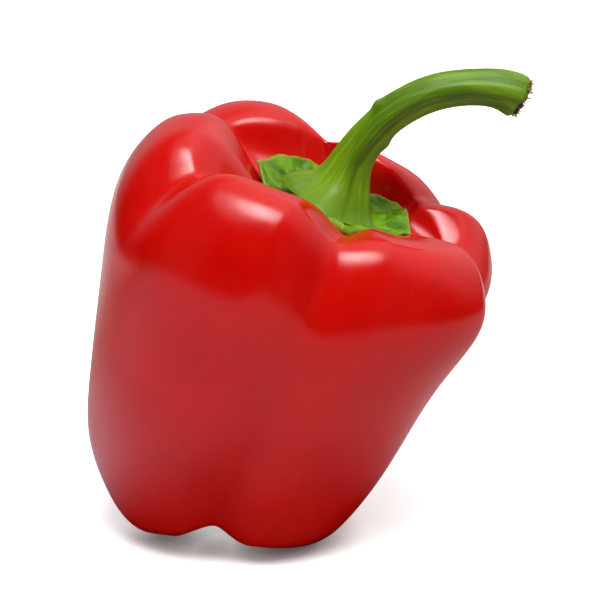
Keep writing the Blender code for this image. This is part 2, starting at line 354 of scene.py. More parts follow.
# %% The calyx's rim
# Each point of the rim: its angle, its distance from the middle and how far it lifts off the
# fruit, in millimetres.
CALYX_RIM = (
    (-174, 17.3, 1.4), (-160, 17.0, 1.3), (-135, 17.0, 0.9), (-112, 16.0, 0.8), (-94, 15.8, 1.2),
    (-80, 17.8, 1.7), (-66, 16.3, 1.4), (-50, 17.2, 0.0), (-34, 17.6, -0.5), (-20, 17.8, 0.2),
    (-10, 15.7, 2.2), (4, 15.3, 2.4), (20, 16.5, 1.2), (31, 17.6, 0.8), (42, 16.8, 0.3),
    (58, 16.0, 0.2), (74, 16.2, 0.4), (90, 16.4, 0.6), (104, 16.6, 0.9), (118, 16.5, 1.6),
    (127, 15.9, 3.0), (135, 15.9, 4.2), (143, 15.9, 4.0), (154, 16.3, 2.9), (168, 17.8, 1.2),
)
RIM_SAMPLES = 1440  # round the calyx, a quarter of a degree apart
RIM_BLUR, RIM_BLUR_REACH = 5.0, 12  # in samples: how softly the rim's points are rounded
VEINS_DEG = (-160, -135, -80, -20, 31, 84, 135, 168)  # each runs out to a tooth
CALYX_SEGMENTS, CALYX_RINGS = 420, 84


def calyx_rim(theta):
    """Distance and lift of the rim in each direction, with its points a little rounded."""
    fine = np.linspace(-180.0, 180.0, RIM_SAMPLES, endpoint=False)
    angles = [point[0] for point in CALYX_RIM]
    rounded = []
    for k in (1, 2):
        values = np.interp(fine, angles, [point[k] for point in CALYX_RIM], period=360.0)
        near = np.exp(-0.5 * (np.arange(-RIM_BLUR_REACH, RIM_BLUR_REACH + 1) / RIM_BLUR) ** 2)
        looped = np.concatenate([values[-RIM_BLUR_REACH:], values, values[:RIM_BLUR_REACH]])
        rounded.append(np.convolve(looped, near / near.sum(), mode="valid"))
    degrees = np.degrees(theta)
    return [np.interp(degrees, fine, values, period=360.0) for values in rounded]


print("calyx points:", CALYX_SEGMENTS * CALYX_RINGS)

# %% The calyx's puckered skin
CALYX_GAP_MM = 0.15  # the calyx lies on the fruit
CALYX_MIDDLE_MM, CALYX_EDGE_MM = 1.9, 0.55  # its thickness
PUCKER_MM = 0.85  # how high the skin bulges between two veins
WRINKLES = ((0.70, 2.6, 7.0), (0.30, 1.2, 11.0))
CAVITY_ENDS = 0.35  # the calyx stays nearer the middle than this
RIM_AT = 0.7  # the station of a disc's rim, between its top and its underside
# Round this direction the calyx doesn't lift off: its edge is thick and reaches down to the fruit.
CLASP_DEG, CLASP_HALF_DEG = -84, 34

cavity_stations = np.linspace(0.0, CAVITY_ENDS, 400)
cavity_radii = meridian(cavity_stations)[0][:, 0]


def between_veins(theta):
    """0 on a vein and 1 midway between two."""
    away = [np.abs(turn_between(theta, math.radians(angle))) for angle in VEINS_DEG]
    nearest = np.sort(np.array(away), axis=0)
    return nearest[0] / (0.5 * (nearest[0] + nearest[1]) + 1e-6)


def share_outwards(t):
    """0 in the middle of a disc's top or underside, and 1 at its rim."""
    return np.where(t <= RIM_AT, t / RIM_AT, (1 - t) / (1 - RIM_AT))


def calyx_surface(theta, t):
    """The top face from t = 0 to the rim, then the underside."""
    on_top = t <= RIM_AT
    out = share_outwards(t)
    reach, lift = calyx_rim(theta)
    points = fruit_surface(theta, np.interp(out * reach, cavity_radii, cavity_stations))
    thick = CALYX_MIDDLE_MM + (CALYX_EDGE_MM - CALYX_MIDDLE_MM) * out
    flat = np.stack([points[..., 0], points[..., 1], 0 * out], axis=-1)
    swell = PUCKER_MM * np.sin(np.pi * np.clip(between_veins(theta), 0, 1) / 2)
    # The puckers are strongest near the rim, and only the last stretch before it curls up.
    spread = eased(out, (0.0, 0.5, 0.8, 1.0), (0, 0, 1, 0.5))
    raised = thick + (swell + layered_lumps(flat, WRINKLES)) * spread
    lifted = lift * eased(out, (0.0, 0.72, 1.0), (0, 0, 1))
    from_clasp = np.abs(turn_between(theta, math.radians(CLASP_DEG)))
    clasp = np.clip(2 - 2 * from_clasp / math.radians(CLASP_HALF_DEG), 0, 1)
    points[..., 2] += CALYX_GAP_MM + np.where(on_top, lifted + raised, lifted * (1 - clasp))
    return points


calyx_rings, calyx_top, calyx_bottom = surface_points(calyx_surface, CALYX_SEGMENTS, CALYX_RINGS)
calyx_parts = (calyx_rings, calyx_top, calyx_bottom)
calyx_mesh = closed_mesh("bell_pepper_calyx", *(stand(part) for part in calyx_parts))
pepper_calyx = bpy.data.objects.new("bell_pepper_calyx", calyx_mesh)
bpy.context.scene.collection.objects.link(pepper_calyx)
print("calyx faces:", len(calyx_mesh.polygons))

# %% Where the calyx is near its rim
theta, t = ring_grid(CALYX_SEGMENTS, CALYX_RINGS)
rim_share = share_outwards(t).ravel()
rim_attribute = calyx_mesh.attributes.new("rim", "FLOAT", "POINT")
rim_attribute.data.foreach_set("value", np.append(rim_share, (0.0, 0.0)).astype(np.float32))
vein_share = np.append(between_veins(theta).ravel(), (0.0, 0.0)).clip(0, 1)
vein_attribute = calyx_mesh.attributes.new("between_veins", "FLOAT", "POINT")
vein_attribute.data.foreach_set("value", vein_share.astype(np.float32))
print("calyx attributes:", [a.name for a in (rim_attribute, vein_attribute)])

# %% [markdown]
# ## The stem
#
# The stem is a path with a size at each point: wide where it flares onto the calyx, slim at its
# bend and thicker again at the end where it was torn from the plant. Ribs run along it. That is
# a rule, so Geometry Nodes sweep a circle along the path, scale it at each point, and push the
# ribs and the fine grain out along the normals. The sizes stay inputs of the node tree.

# %% The stem's path
# Points on its middle line and its radius there, in millimetres, in the upright frame.
STEM_MM = (
    (4.4, 3, 77.2, 11.6), (4.5, 3, 77.8, 11.0), (4.8, 3, 79.0, 9.2), (5.3, 3, 81.0, 7.2),
    (5.6, 3, 84.0, 5.4), (5.9, 3, 87.8, 4.4), (7.0, 3, 92.2, 4.0), (9.2, 3.1, 97.3, 3.6),
    (12.9, 3.4, 102.8, 3.8), (18.3, 3.8, 107.5, 3.9), (25.0, 4.2, 110.45, 3.7),
    (31.0, 4.6, 111.9, 4.1), (34.9, 4.9, 111.3, 4.8), (35.7, 4.95, 111.1, 4.3),
)
STEM_STATIONS = 220

middle = np.array(STEM_MM)
controls = (2 * middle[0] - middle[1], *middle, 2 * middle[-1] - middle[-2])
stem_line = cubic_b_spline(controls, np.linspace(0.0, 1.0, STEM_STATIONS))
path = bpy.data.curves.new("stem_path", "CURVE")
path.dimensions = "3D"
spline = path.splines.new("POLY")
spline.points.add(STEM_STATIONS - 1)
for point, place, radius in zip(spline.points, stand(stem_line[:, :3]), stem_line[:, 3]):
    point.co = (*place, 1.0)
    point.radius = radius * MM
stem_path = bpy.data.objects.new("stem_path", path)
bpy.context.scene.collection.objects.link(stem_path)
stem_length = np.linalg.norm(np.diff(stem_line[:, :3], axis=0), axis=1).sum()
print("stem length, mm:", round(float(stem_length), 1))

# %% The tree that grows the stem
stalk = bpy.data.node_groups.new("ribbed_stalk", "GeometryNodeTree")
stalk.interface.new_socket(name="Path", in_out="INPUT", socket_type="NodeSocketGeometry")
stalk.interface.new_socket(name="Stem", in_out="OUTPUT", socket_type="NodeSocketGeometry")
stalk_inputs = {
    name: stalk.interface.new_socket(name=name, in_out="INPUT", socket_type=kind)
    for name, kind in (
        ("Sides", "NodeSocketInt"),
        ("Ribs", "NodeSocketFloat"),
        ("Rib depth", "NodeSocketFloat"),
        ("Grain depth", "NodeSocketFloat"),
        ("Length", "NodeSocketFloat"),
        ("Material", "NodeSocketMaterial"),
    )
}
given = add_node(stalk, "NodeGroupInput").outputs
factor = add_node(stalk, "GeometryNodeSplineParameter").outputs["Factor"]
radius = add_node(stalk, "GeometryNodeInputRadius").outputs["Radius"]
on_path = add_node(stalk, "GeometryNodeCaptureAttribute", {"Geometry": given["Path"]})
on_path.capture_items.new("FLOAT", "Along")
on_path.capture_items.new("FLOAT", "Radius")
stalk.links.new(factor, on_path.inputs["Along"])
stalk.links.new(radius, on_path.inputs["Radius"])
circle = add_node(
    stalk, "GeometryNodeCurvePrimitiveCircle", {"Resolution": given["Sides"], "Radius": 1.0}
)
on_circle = add_node(stalk, "GeometryNodeCaptureAttribute", {"Geometry": circle.outputs["Curve"]})
on_circle.capture_items.new("FLOAT", "Around")
stalk.links.new(factor, on_circle.inputs["Around"])
swept = add_node(
    stalk,
    "GeometryNodeCurveToMesh",
    {
        "Curve": on_path.outputs["Geometry"],
        "Profile Curve": on_circle.outputs["Geometry"],
        "Scale": on_path.outputs["Radius"],
        "Fill Caps": True,
    },
)
print("sweep ready")

# %% Ribs and grain on the stem
def maths(tree, operation, a, b=0.0):
    return add_node(tree, "ShaderNodeMath", {0: a, 1: b}, operation=operation).outputs["Value"]


GRAIN_SCALE = 3.2  # lumps for each unit of the grain's place
GRAIN_STRETCH = (1.0, 1.0, 0.055)  # drawn out along the stem

turned = maths(stalk, "MULTIPLY", on_circle.outputs["Around"], 2 * math.pi)
rib_wave = maths(stalk, "COSINE", maths(stalk, "MULTIPLY", turned, given["Ribs"]))
rib_height = maths(stalk, "MULTIPLY", rib_wave, given["Rib depth"])
# The grain is read on the side of a straight cylinder, so it runs along the stem.
grain_place = add_node(
    stalk,
    "ShaderNodeCombineXYZ",
    {
        "X": maths(stalk, "COSINE", turned),
        "Y": maths(stalk, "SINE", turned),
        "Z": maths(stalk, "MULTIPLY", on_path.outputs["Along"], given["Length"]),
    },
).outputs["Vector"]
stretched = add_node(
    stalk, "ShaderNodeVectorMath", {0: grain_place, 1: GRAIN_STRETCH}, operation="MULTIPLY"
).outputs["Vector"]
grain_noise = add_node(
    stalk, "ShaderNodeTexNoise", {"Vector": stretched, "Scale": GRAIN_SCALE, "Detail": 3.0}
).outputs["Fac"]
grain_height = maths(
    stalk, "MULTIPLY", maths(stalk, "SUBTRACT", grain_noise, 0.5), given["Grain depth"]
)
height = maths(
    stalk, "MULTIPLY", maths(stalk, "ADD", rib_height, grain_height), on_path.outputs["Radius"]
)
normal = add_node(stalk, "GeometryNodeInputNormal").outputs["Normal"]
push = add_node(
    stalk, "ShaderNodeVectorMath", {0: normal, "Scale": height}, operation="SCALE"
).outputs["Vector"]
pushed = add_node(
    stalk, "GeometryNodeSetPosition", {"Geometry": swept.outputs["Mesh"], "Offset": push}
)
stored = add_node(
    stalk,
    "GeometryNodeStoreNamedAttribute",
    {"Geometry": pushed.outputs["Geometry"], "Name": "grain", "Value": grain_place},
    data_type="FLOAT_VECTOR",
    domain="POINT",
)
smooth = add_node(
    stalk, "GeometryNodeSetShadeSmooth", {"Geometry": stored.outputs["Geometry"]}
)
realized = add_node(
    stalk, "GeometryNodeRealizeInstances", {"Geometry": smooth.outputs["Geometry"]}
)
finished = add_node(
    stalk,
    "GeometryNodeSetMaterial",
    {"Geometry": realized.outputs["Geometry"], "Material": given["Material"]},
)
add_node(stalk, "NodeGroupOutput", {"Stem": finished.outputs["Geometry"]})
print("nodes in the stem's tree:", len(stalk.nodes))

# %% Run the tree and keep a plain mesh
stem_green = bpy.data.materials.new("pepper_stem_green")


def grow(source, tree, sockets, values, name):
    """Runs a node tree on source and returns what it makes as a plain mesh object."""
    modifier = source.modifiers.new("grow", "NODES")
    modifier.node_group = tree
    for label, value in values.items():
        modifier[sockets[label].identifier] = value
    graph = bpy.context.evaluated_depsgraph_get()
    made = bpy.data.objects.new(name, bpy.data.meshes.new_from_object(source.evaluated_get(graph)))
    source.modifiers.remove(modifier)
    bpy.context.scene.collection.objects.link(made)
    return made


pepper_stem = grow(
    stem_path,
    stalk,
    stalk_inputs,
    {
        "Sides": 96,
        "Ribs": 5.0,
        "Rib depth": 0.06,
        "Grain depth": 0.05,
        "Length": float(stem_length),
        "Material": stem_green,
    },
    "bell_pepper_stem",
)
bpy.data.objects.remove(stem_path, do_unlink=True)
print("stem faces:", len(pepper_stem.data.polygons))

# %% Scars on the stem
# Where the stem was hurt or forked as it grew: a point on its surface, the size of the swelling
# and its height, in millimetres in the upright frame.
STEM_SWELLINGS = (
    (7.3, 2.6, 101.2, 1.0, 0.75),
    (8.6, 3.4, 103.0, 1.6, 0.25),
    (11.2, 3.0, 93.4, 1.3, 0.85),
    (16.6, 2.2, 108.9, 1.0, 0.15),
)

stem_mesh = pepper_stem.data
stem_points = np.array([v.co for v in stem_mesh.vertices])
stem_normals = np.array([v.normal for v in stem_mesh.vertices])
for x, y, z, size, swelling in STEM_SWELLINGS:
    away = np.linalg.norm(stem_points - stand(np.array([x, y, z])), axis=1) / (size * MM)
    stem_points += stem_normals * (swelling * MM * np.exp(-0.5 * away**2))[:, None]
stem_mesh.vertices.foreach_set("co", stem_points.astype(np.float32).ravel())
stem_mesh.update()
print("scars on the stem:", len(STEM_SWELLINGS))

# %% [markdown]
# ## The torn end
#
# The stem was torn rather than cut from the plant, so its end is a ragged brown disc with stubs
# of fibre sticking out. The disc is a small closed mesh with a rough face. The fibres repeat, so
# Geometry Nodes scatter little cones over that face with a fixed seed.

# %% The ragged disc
end_place, before_end = stem_line[-1], stem_line[-4]
axis = end_place[:3] - before_end[:3]
axis /= np.linalg.norm(axis)
side = np.cross((0.0, 1.0, 0.0), axis)
side /= np.linalg.norm(side)
up_side = np.cross(axis, side)
END_RADIUS_MM = float(end_place[3]) * 0.98
END_THICK_MM = 1.2
END_OUT_MM, END_RIM_OUT_MM = 0.30, 0.50  # how far the face stands out, and its rim past that
END_ROUGHNESS = ((0.35, 0.9, 2.0), (0.35, 2.4, 5.0))
END_TUCK_FROM, END_TUCK_MM = 0.995, 0.2  # the very edge is tucked this deep into the stem


def torn_surface(theta, t):
    """The rough outer face from t = 0 to the rim, then the hidden face inside the stem."""
    out = share_outwards(t)
    distance = END_RADIUS_MM * out
    flat = np.stack([distance * np.cos(theta), distance * np.sin(theta), 0 * out], axis=-1)
    rim = eased(out, (0.0, 0.72, 0.9, 1.0), (0, 0, 1, 0.25))
    ragged = 1 + lumps(flat, 1.1, 9.0)
    face = END_OUT_MM + layered_lumps(flat, END_ROUGHNESS) + END_RIM_OUT_MM * rim * ragged
    height = np.where(t <= RIM_AT, face, -END_THICK_MM)
    height = np.where(out > END_TUCK_FROM, np.minimum(height, -END_TUCK_MM), height)
    across = flat[..., :1] * side + flat[..., 1:2] * up_side
    return end_place[:3] + across + height[..., None] * axis


torn_rings, torn_top, torn_bottom = surface_points(torn_surface, 72, 26)
torn_parts = (torn_rings, torn_top, torn_bottom)
torn_mesh = closed_mesh("stem_torn_end", *(stand(part) for part in torn_parts))
torn_end = bpy.data.objects.new("stem_torn_end", torn_mesh)
bpy.context.scene.collection.objects.link(torn_end)
print("torn end faces:", len(torn_mesh.polygons))

# %% The tree that scatters fibres
scatter = bpy.data.node_groups.new("torn_fibres", "GeometryNodeTree")
scatter.interface.new_socket(name="Face", in_out="INPUT", socket_type="NodeSocketGeometry")
scatter.interface.new_socket(name="Fibres", in_out="OUTPUT", socket_type="NodeSocketGeometry")
scatter_inputs = {
    name: scatter.interface.new_socket(name=name, in_out="INPUT", socket_type=kind)
    for name, kind in (
        ("Spacing", "NodeSocketFloat"),
        ("Length", "NodeSocketFloat"),
        ("Thickness", "NodeSocketFloat"),
        ("Facing", "NodeSocketVector"),
        ("Seed", "NodeSocketInt"),
        ("Material", "NodeSocketMaterial"),
    )
}
given = add_node(scatter, "NodeGroupInput").outputs
face_normal = add_node(scatter, "GeometryNodeInputNormal").outputs["Normal"]
facing = add_node(
    scatter, "ShaderNodeVectorMath", {0: face_normal, 1: given["Facing"]}, operation="DOT_PRODUCT"
).outputs["Value"]
points = add_node(
    scatter,
    "GeometryNodeDistributePointsOnFaces",
    {
        "Mesh": given["Face"],
        "Selection": maths(scatter, "GREATER_THAN", facing, 0.25),
        "Distance Min": given["Spacing"],
        "Density Max": 9e6,
        "Seed": given["Seed"],
    },
    distribute_method="POISSON",
)
fibre = add_node(
    scatter,
    "GeometryNodeMeshCone",
    {"Vertices": 5, "Side Segments": 2, "Radius Top": 0.25, "Radius Bottom": 1.0, "Depth": 1.0},
)
tilt = add_node(
    scatter,
    "FunctionNodeRandomValue",
    {0: (-0.55, -0.55, 0.0), 1: (0.55, 0.55, 6.28), "Seed": given["Seed"]},
    data_type="FLOAT_VECTOR",
).outputs[0]
turn = add_node(
    scatter,
    "FunctionNodeRotateRotation",
    {
        "Rotation": points.outputs["Rotation"],
        "Rotate By": add_node(scatter, "FunctionNodeEulerToRotation", {"Euler": tilt}).outputs[0],
    },
    rotation_space="LOCAL",
).outputs["Rotation"]
stretch = add_node(
    scatter,
    "FunctionNodeRandomValue",
    {2: 0.35, 3: 1.0, "Seed": given["Seed"]},
    data_type="FLOAT",
).outputs[1]
scale = add_node(
    scatter,
    "ShaderNodeCombineXYZ",
    {
        "X": given["Thickness"],
        "Y": given["Thickness"],
        "Z": maths(scatter, "MULTIPLY", stretch, given["Length"]),
    },
).outputs["Vector"]
fibres = add_node(
    scatter,
    "GeometryNodeInstanceOnPoints",
    {
        "Points": points.outputs["Points"],
        "Instance": fibre.outputs["Mesh"],
        "Rotation": turn,
        "Scale": scale,
    },
)
realized = add_node(
    scatter, "GeometryNodeRealizeInstances", {"Geometry": fibres.outputs["Instances"]}
)
finished = add_node(
    scatter,
    "GeometryNodeSetMaterial",
    {"Geometry": realized.outputs["Geometry"], "Material": given["Material"]},
)
add_node(scatter, "NodeGroupOutput", {"Fibres": finished.outputs["Geometry"]})
print("nodes in the fibres' tree:", len(scatter.nodes))

# %% Scatter the fibres
torn_fibre = bpy.data.materials.new("torn_stem_fibre")
stem_fibres = grow(
    torn_end,
    scatter,
    scatter_inputs,
    {
        "Spacing": 0.35 * MM,
        "Length": 1.3 * MM,
        "Thickness": 0.15 * MM,
        "Facing": tuple(LEAN @ axis),
        "Seed": 4,
        "Material": torn_fibre,
    },
    "stem_torn_fibres",
)
print("fibre faces:", len(stem_fibres.data.polygons))

# %% [markdown]
# ## The skin's finish
#
# A ripe pepper's skin is thin, tight and covered in a natural wax, so it is glossy but not
# sharp: highlights have soft edges. The red lies in the flesh just below, deep and nearly pure,
# with a faint cloudiness and fine streaks that run from the stem to the blossom end. Here and
# there a tiny pit or corky speck breaks the shine.

# %% Red waxy skin
IN_MM = (1000.0, 1000.0, 1000.0)  # scales a place in metres to millimetres

pepper_skin = bpy.data.materials.new("waxy_pepper_skin")
pepper_skin.use_nodes = True
tree = pepper_skin.node_tree
skin_shader = tree.nodes["Principled BSDF"]
placed = add_node(tree, "ShaderNodeTexCoord").outputs["Object"]
upright = add_node(
    tree,
    "ShaderNodeMapping",
    {"Vector": placed, "Rotation": tuple(lean.inverted().to_euler()), "Scale": IN_MM},
).outputs["Vector"]  # millimetres along the fruit's own axes


def mix_colours(tree, share, first, second):
    """A colour that goes from first to second as share goes from 0 to 1."""
    return add_node(
        tree, "ShaderNodeMix", {"Factor": share, 6: first, 7: second}, data_type="RGBA"
    ).outputs[2]


def between(tree, value, low, high, to_low=0.0, to_high=1.0):
    """value, mapped so that low to high becomes to_low to to_high, and held there."""
    inputs = {"Value": value, 1: low, 2: high, 3: to_low, 4: to_high}
    return add_node(tree, "ShaderNodeMapRange", inputs, interpolation_type="SMOOTHSTEP").outputs[0]


def noise_at(tree, place, grain_mm, detail=2.0, stretch=(1.0, 1.0, 1.0)):
    """Noise whose features are about grain_mm across, on a place in millimetres."""
    size = tuple(s / grain_mm for s in stretch)
    scaled = add_node(tree, "ShaderNodeMapping", {"Vector": place, "Scale": size})
    inputs = {"Vector": scaled.outputs["Vector"], "Scale": 1.0, "Detail": detail}
    return add_node(tree, "ShaderNodeTexNoise", inputs).outputs["Fac"]


cloud = noise_at(tree, upright, 14.0, 3.0)
streak = noise_at(tree, upright, 1.1, 3.0, (1.0, 1.0, 0.07))
specks = add_node(tree, "ShaderNodeTexVoronoi", {"Vector": upright, "Scale": 1 / 9.0})
red = mix_colours(tree, between(tree, cloud, 0.35, 0.68), linear("#B40803"), linear("#AE0502"))
red = mix_colours(tree, between(tree, streak, 0.52, 0.75, 0.0, 0.30), red, linear("#BD0E05"))
rare = between(tree, specks.outputs["Color"], 0.86, 0.88)
speck = maths(tree, "MULTIPLY", between(tree, specks.outputs["Distance"], 0.030, 0.012), rare)
red = mix_colours(tree, maths(tree, "MULTIPLY", speck, 0.6), red, linear("#6E0A04"))
tree.links.new(red, skin_shader.inputs["Base Color"])
gloss = between(tree, noise_at(tree, upright, 2.5, 4.0), 0.3, 0.7, 0.18, 0.22)
tree.links.new(gloss, skin_shader.inputs["Roughness"])
skin_shader.inputs["IOR"].default_value = 1.39
skin_shader.inputs["Subsurface Weight"].default_value = 0.12
skin_shader.inputs["Subsurface Radius"].default_value = (1.0, 0.25, 0.12)
skin_shader.inputs["Subsurface Scale"].default_value = 1.5 * MM
dimples = maths(tree, "SUBTRACT", noise_at(tree, upright, 0.9, 2.0), speck)
bump = add_node(
    tree, "ShaderNodeBump", {"Height": dimples, "Strength": 1.0, "Distance": 0.006 * MM}
)
tree.links.new(bump.outputs["Normal"], skin_shader.inputs["Normal"])
skin_mesh.materials.append(pepper_skin)
print("skin nodes:", len(tree.nodes))

# %% [markdown]
# ## The greens
#
# The calyx is thicker leaf tissue: mid green and a little shiny, paler along its veins and yellow
# at its thin rim. The stem is smooth with fine pale fibres just under its skin, so its colour runs
# in streaks along it, darker in the middle and yellower where it spreads at its foot.

# %% Leathery calyx
calyx_leaf = bpy.data.materials.new("leathery_calyx")
calyx_leaf.use_nodes = True
tree = calyx_leaf.node_tree
calyx_shader = tree.nodes["Principled BSDF"]
placed = add_node(tree, "ShaderNodeTexCoord").outputs["Object"]
place = add_node(
    tree, "ShaderNodeMapping", {"Vector": placed, "Scale": IN_MM}
).outputs["Vector"]
rim = add_node(tree, "ShaderNodeAttribute", attribute_name="rim").outputs["Fac"]
veins = add_node(tree, "ShaderNodeAttribute", attribute_name="between_veins").outputs["Fac"]
blotch = noise_at(tree, place, 3.0, 3.0)
green = mix_colours(tree, between(tree, blotch, 0.35, 0.65), linear("#3A6202"), linear("#5E8A04"))
green = mix_colours(tree, between(tree, veins, 0.30, 0.05, 0.0, 0.55), green, linear("#6C8C1E"))
green = mix_colours(tree, between(tree, rim, 0.95, 0.99, 0.0, 0.55), green, linear("#86982A"))
tree.links.new(green, calyx_shader.inputs["Base Color"])
tree.links.new(between(tree, blotch, 0.3, 0.7, 0.32, 0.44), calyx_shader.inputs["Roughness"])
calyx_shader.inputs["IOR"].default_value = 1.26
bump = add_node(
    tree,
    "ShaderNodeBump",
    {"Height": noise_at(tree, place, 0.7, 3.0), "Strength": 1.0, "Distance": 0.10 * MM},
)
tree.links.new(bump.outputs["Normal"], calyx_shader.inputs["Normal"])
calyx_mesh.materials.append(calyx_leaf)
print("calyx nodes:", len(tree.nodes))

# %% Streaked stem
stem_green.use_nodes = True
tree = stem_green.node_tree
stem_shader = tree.nodes["Principled BSDF"]
grain = add_node(tree, "ShaderNodeAttribute", attribute_name="grain").outputs["Vector"]
height_up = add_node(tree, "ShaderNodeSeparateXYZ", {"Vector": grain}).outputs["Z"]
placed = add_node(tree, "ShaderNodeTexCoord").outputs["Object"]
fine = noise_at(tree, grain, 0.16, 3.0, (1.0, 1.0, 0.02))
broad = noise_at(tree, grain, 0.7, 2.0, (1.0, 1.0, 0.04))
green = mix_colours(tree, between(tree, broad, 0.35, 0.68), linear("#426400"), linear("#608404"))
green = mix_colours(tree, between(tree, fine, 0.45, 0.8, 0.0, 0.5), green, linear("#86A428"))
green = mix_colours(tree, between(tree, height_up, 7.0, 1.0, 0.0, 0.6), green, linear("#527206"))
for x, y, z, size, _swelling in STEM_SWELLINGS[:1]:
    spot = add_node(
        tree, "ShaderNodeVectorMath", {0: placed, 1: tuple(stand(np.array([x, y, z])))},
        operation="DISTANCE",
    ).outputs["Value"]
    brown = between(tree, spot, 1.3 * size * MM, 0.5 * size * MM, 0.0, 0.6)
    green = mix_colours(tree, brown, green, linear("#6B5A22"))
tree.links.new(green, stem_shader.inputs["Base Color"])
tree.links.new(between(tree, fine, 0.3, 0.7, 0.36, 0.50), stem_shader.inputs["Roughness"])
stem_shader.inputs["IOR"].default_value = 1.32
bump = add_node(
    tree, "ShaderNodeBump", {"Height": fine, "Strength": 1.0, "Distance": 0.08 * MM}
)
tree.links.new(bump.outputs["Normal"], stem_shader.inputs["Normal"])
print("stem nodes:", len(tree.nodes))

# %% Torn fibre
torn_fibre.use_nodes = True
tree = torn_fibre.node_tree
fibre_shader = tree.nodes["Principled BSDF"]
placed = add_node(tree, "ShaderNodeTexCoord").outputs["Object"]
place = add_node(
    tree, "ShaderNodeMapping", {"Vector": placed, "Scale": IN_MM}
).outputs["Vector"]
patch = noise_at(tree, place, 0.9, 3.0)
brown = mix_colours(tree, between(tree, patch, 0.4, 0.62), linear("#38240A"), linear("#7C6830"))
tree.links.new(brown, fibre_shader.inputs["Base Color"])
tree.links.new(between(tree, patch, 0.3, 0.7, 0.75, 0.95), fibre_shader.inputs["Roughness"])
torn_mesh.materials.append(torn_fibre)
print("fibre nodes:", len(tree.nodes))

# %% [markdown]
# ## On the imported model
#
# Each piece takes the place of the imported solid it stands for and moves with the model's only
# body. The stem's torn end and its fibres have no imported solid of their own, so none is hidden.

# %% Ride and replace
PIECES = (
    (pepper_fruit, "skin", "fruit"),
    (pepper_calyx, "calyx", "calyx"),
    (pepper_stem, "stem", "stem"),
    (torn_end, "stem", None),
    (stem_fibres, "stem", None),
)
for piece, slot, node in PIECES:
    if node:
        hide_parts(node)
    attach(piece, "root")
print("pieces:", [piece.name for piece, _slot, _node in PIECES])

# %% [markdown]
# ## The studio
#
# The pepper stands on a sheet of white paper under a large soft light, in a dark room. The paper
# shows in the lower half of the skin as a pale veil and the light as soft highlights on the
# shoulders; the dark room between them keeps the red deep. Past the paper a camera sees white.
#
# One plain white would give the wax a noisy veil and the pepper a heavy shadow. So the paper is
# drawn in three ways, and Light Path tells which ray asks. A camera ray sees white paper, with a
# painted soft shade where the pepper closes it in. A mirrored ray sees an even glow, a little
# tinted, with a painted shadow right at the pepper's foot. Any other ray sees grey paper, which
# sends some light back up. It is a studio trick, and the pepper's own materials have no part in it.

# %% White paper
# The paper's corners on the table, in metres: its right edge runs back at a slant.
PAPER_CORNERS = ((-0.70, -0.29), (0.08, -0.35), (0.55, 1.00), (-1.00, 1.00))

paper_mesh = bpy.data.meshes.new("white_paper")
paper_mesh.from_pydata([(x, y, 0.0) for x, y in PAPER_CORNERS], [], [(0, 1, 2, 3)])
paper = bpy.data.objects.new("white_paper", paper_mesh)
bpy.context.scene.collection.objects.link(paper)
matt_white = bpy.data.materials.new("matt_white_paper")
matt_white.use_nodes = True
paper_mesh.materials.append(matt_white)
print("paper corners, m:", PAPER_CORNERS)

# %% The paper as the wax mirrors it
BLACK, WHITE = (0.0, 0.0, 0.0, 1.0), (1.0, 1.0, 1.0, 1.0)
GLOW_LEFT, GLOW_RIGHT = (0.86, 0.78, 0.94, 1.0), (0.90, 0.70, 0.70, 1.0)  # in front of the pepper
GLOW_BESIDE, GLOW_BEHIND = (0.56, 0.40, 0.38, 1.0), (0.95, 0.80, 0.78, 1.0)
# Where each of them gives way to the next, in metres to the right or backwards.
LEFT_TO_RIGHT, FRONT_TO_BESIDE, BESIDE_TO_BEHIND = (-0.12, 0.12), (-0.02, 0.14), (0.14, 0.30)
# Painted shadow: the glow the wax mirrors is painted dark in a disc round the pepper's foot.
PAINTED_SHADOW_MIDDLE, PAINTED_FOOT_SHADOW = (-0.012, -0.005, 0.0), (0.028, 0.070)  # its middle, and its dark disc

tree = matt_white.node_tree
paper_shader = tree.nodes["Principled BSDF"]
place = add_node(tree, "ShaderNodeTexCoord").outputs["Object"]
across, backwards = add_node(tree, "ShaderNodeSeparateXYZ", {"Vector": place}).outputs[:2]
from_painted_shadow = add_node(
    tree, "ShaderNodeVectorMath", {0: place, 1: PAINTED_SHADOW_MIDDLE}, operation="DISTANCE"
).outputs["Value"]
mirrored = mix_colours(tree, between(tree, across, *LEFT_TO_RIGHT), GLOW_LEFT, GLOW_RIGHT)
mirrored = mix_colours(tree, between(tree, backwards, *FRONT_TO_BESIDE), mirrored, GLOW_BESIDE)
mirrored = mix_colours(tree, between(tree, backwards, *BESIDE_TO_BEHIND), mirrored, GLOW_BEHIND)
# Painted shadow in the mirrored glow: black at the pepper's foot, fading out to the full glow.
mirrored = mix_colours(tree, between(tree, from_painted_shadow, *PAINTED_FOOT_SHADOW), BLACK, mirrored)
print("glow nodes:", len(tree.nodes))

# %% The paper for each kind of ray
# Painted shade: a camera ray sees the paper's glow painted darker where the pepper closes it in,
# down to a dark grey at its feet.
SEEN_GREY, BOUNCED_GREY = (0.70, 0.70, 0.70, 1.0), (0.55, 0.55, 0.55, 1.0)
PAINTED_SHADE_CLOSED_IN, IN_THE_OPEN = (0.04, 0.03, 0.03, 1.0), (0.50, 0.49, 0.49, 1.0)
SHADE_REACH = 0.009  # in metres: how far the pepper's soft shade spreads from its feet
SHADE_ENDS = 0.8  # paper this open to the light has no shade left

